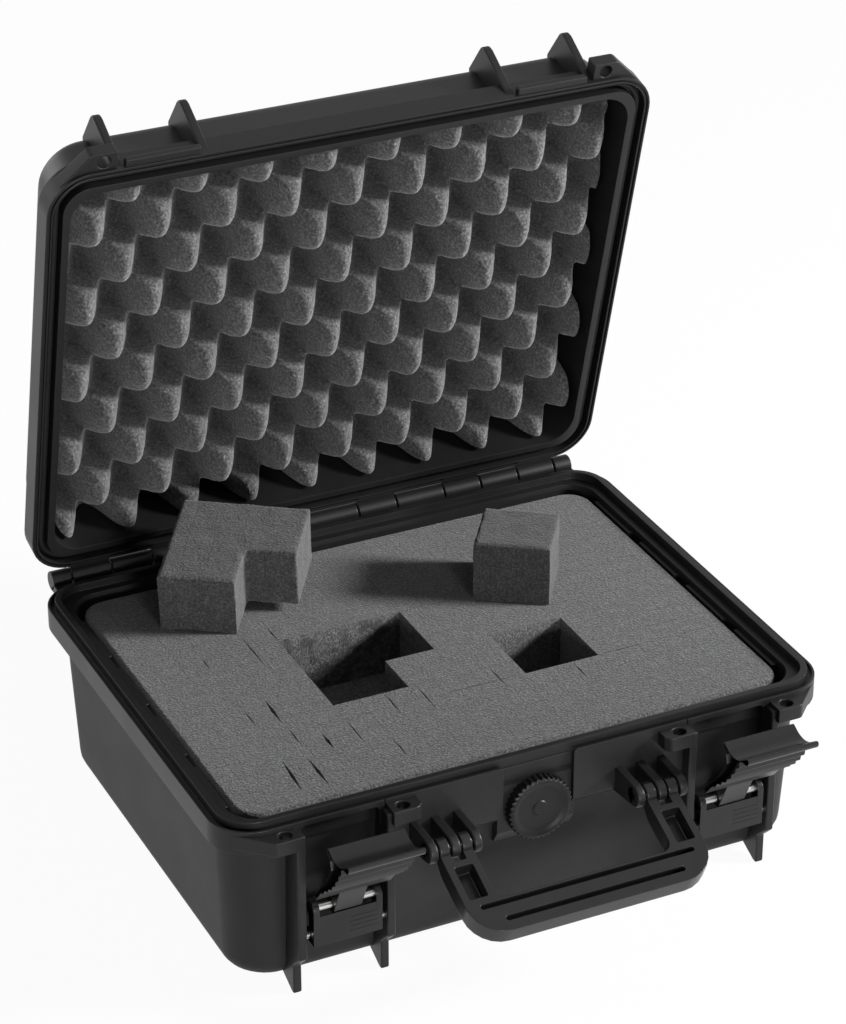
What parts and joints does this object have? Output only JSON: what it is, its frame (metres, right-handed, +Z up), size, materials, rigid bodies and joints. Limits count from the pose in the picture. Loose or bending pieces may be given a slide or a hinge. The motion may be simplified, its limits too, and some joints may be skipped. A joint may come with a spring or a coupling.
{
  "type": "shockproof case",
  "caption": "Shockproof carrying case, lid open, with over-centre latches, folding handle, pressure valve and foam lining.",
  "frame": {"origin": "centre of the base's flat underside; the feet reach 4 mm below it", "axes": "+Z up, +X along the hinge to the right seen from the latches, -Y towards the latches and handle"},
  "size_m": [0.336, 0.3765, 0.3786],
  "materials": {
    "polypropylene": "fine moulded texture, near black",
    "foam": "open-cell polyurethane foam, dark grey",
    "steel": "bright",
    "rubber": "matt black",
    "membrane": "white felt"
  },
  "bodies": {
    "base": {"base_shell": "polypropylene", "hinge_pin": "steel", "foam_bottom_pad": "foam", "foam_middle_layer": "foam", "foam_cubed_layer": "foam", "foam_l_block": "foam", "foam_square_block": "foam", "latch_left_link_pin": "steel", "latch_right_link_pin": "steel", "handle_pin_left": "steel", "handle_pin_right": "steel", "valve_body": "polypropylene", "valve_o_ring": "rubber", "valve_nut": "polypropylene", "valve_membrane": "membrane"},
    "lid": {"lid_shell": "polypropylene", "lid_seal": "rubber", "lid_foam": "foam"},
    "latch_left_link": {"latch_left_link": "polypropylene", "latch_left_lever_pin": "steel"},
    "latch_left_lever": {"latch_left_lever": "polypropylene"},
    "latch_right_link": {"latch_right_link": "polypropylene", "latch_right_lever_pin": "steel"},
    "latch_right_lever": {"latch_right_lever": "polypropylene"},
    "handle": {"handle": "polypropylene"},
    "valve_knob": {"valve_knob": "polypropylene"}
  },
  "joints": [
    {"name": "lid_hinge", "type": "hinge", "parent": "base", "child": "lid", "pos_m": [0, 0.138, 0.097], "axis": [-1, 0, 0], "range_deg": [-75.6, 30], "deforming": ["lid_foam", "foam_l_block", "foam_square_block"]},
    {"name": "latch_left_link_swing", "type": "hinge", "parent": "base", "child": "latch_left_link", "pos_m": [-0.1075, -0.1325, 0.0315], "axis": [1, 0, 0], "range_deg": [0, 12]},
    {"name": "latch_left_lever_turn", "type": "hinge", "parent": "latch_left_link", "child": "latch_left_lever", "pos_m": [-0.1075, -0.1345, 0.0475], "axis": [1, 0, 0], "range_deg": [-28.5, 15]},
    {"name": "latch_right_link_swing", "type": "hinge", "parent": "base", "child": "latch_right_link", "pos_m": [0.1075, -0.1325, 0.0315], "axis": [1, 0, 0], "range_deg": [0, 12]},
    {"name": "latch_right_lever_turn", "type": "hinge", "parent": "latch_right_link", "child": "latch_right_lever", "pos_m": [0.1075, -0.1345, 0.0475], "axis": [1, 0, 0], "range_deg": [-28.5, 15]},
    {"name": "handle_fold", "type": "hinge", "parent": "base", "child": "handle", "pos_m": [0, -0.15, 0.074], "axis": [1, 0, 0], "range_deg": [-26, 60]},
    {"name": "valve_turn", "type": "hinge", "parent": "base", "child": "valve_knob", "pos_m": [0, -0.1286, 0.0695], "axis": [0, -1, 0], "range_deg": [0, 180]}
  ]
}
